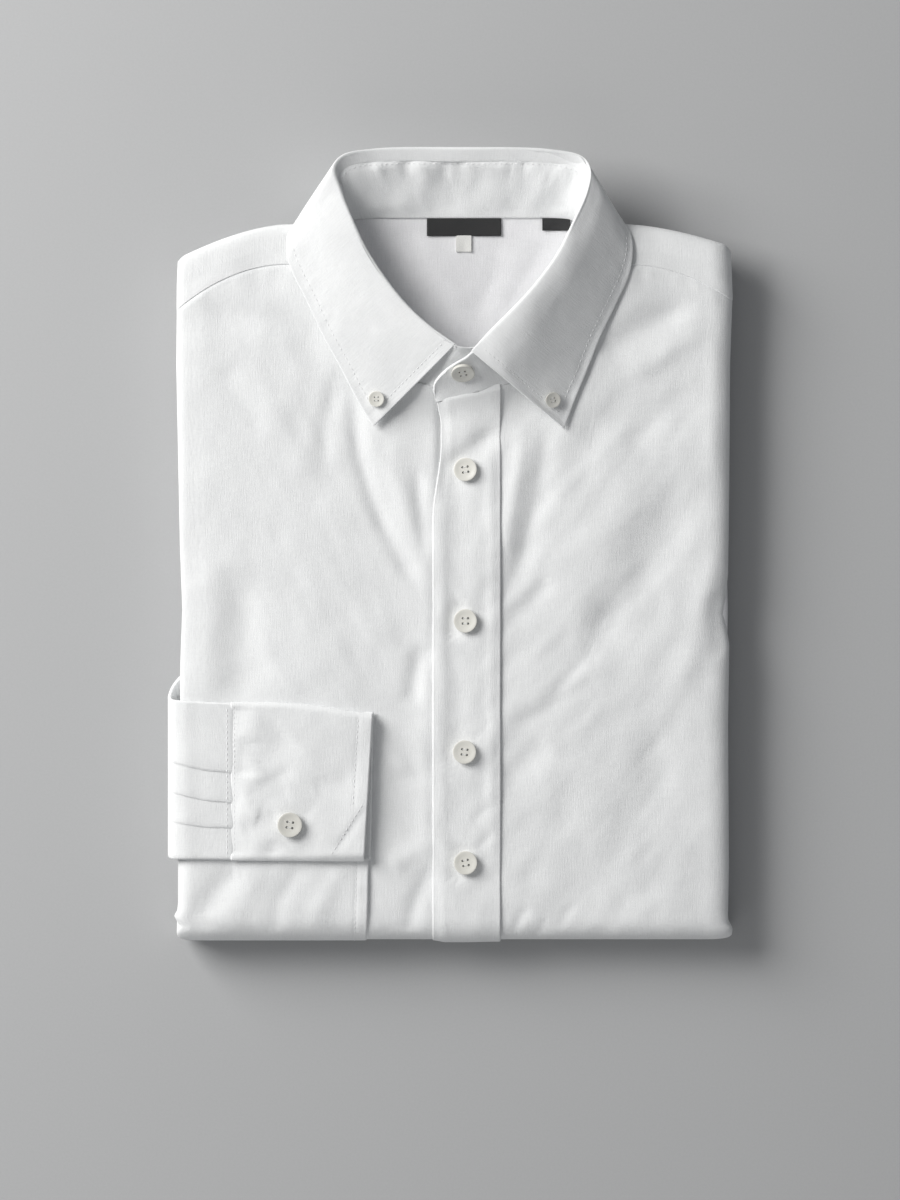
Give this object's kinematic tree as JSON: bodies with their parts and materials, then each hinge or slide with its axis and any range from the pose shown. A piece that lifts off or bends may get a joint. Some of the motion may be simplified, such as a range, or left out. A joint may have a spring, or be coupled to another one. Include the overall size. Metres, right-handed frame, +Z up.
{
  "type": "folded button-down shirt",
  "caption": "Long-sleeved button-down shirt folded flat for a shelf, collar raised, one cuff laid across the front.",
  "frame": {"origin": "centre of the folded body's flat underside, on the surface it lies on", "axes": "+X towards the wearer's left side, +Y towards the collar, +Z up out of the front"},
  "size_m": [0.2833, 0.3978, 0.0434],
  "materials": {
    "linen": "white linen and cotton cloth, plain weave, matt, lightly pressed",
    "inner_linen": "inner side and hidden layers of the same white cloth",
    "button": "off-white shirt button, soft gloss",
    "dark_tape": "near-black woven label tape, bare",
    "pale_tape": "off-white woven tape, bare"
  },
  "bodies": {
    "root": {"folded_layers": "inner_linen", "front_right": "linen", "front_left": "linen", "yoke_right": "linen", "yoke_left": "linen", "back_inside": "inner_linen", "placket": "linen", "collar_leaf": "linen", "collar_stand": "linen", "under_cuff": "linen", "sleeve": "linen", "cuff": "linen", "neck_label": "dark_tape", "size_tab": "pale_tape", "care_label": "dark_tape", "button_band": "button", "button_front_1": "button", "button_front_2": "button", "button_front_3": "button", "button_front_4": "button", "button_collar_right": "button", "button_collar_left": "button", "button_cuff": "button"}
  },
  "joints": []
}
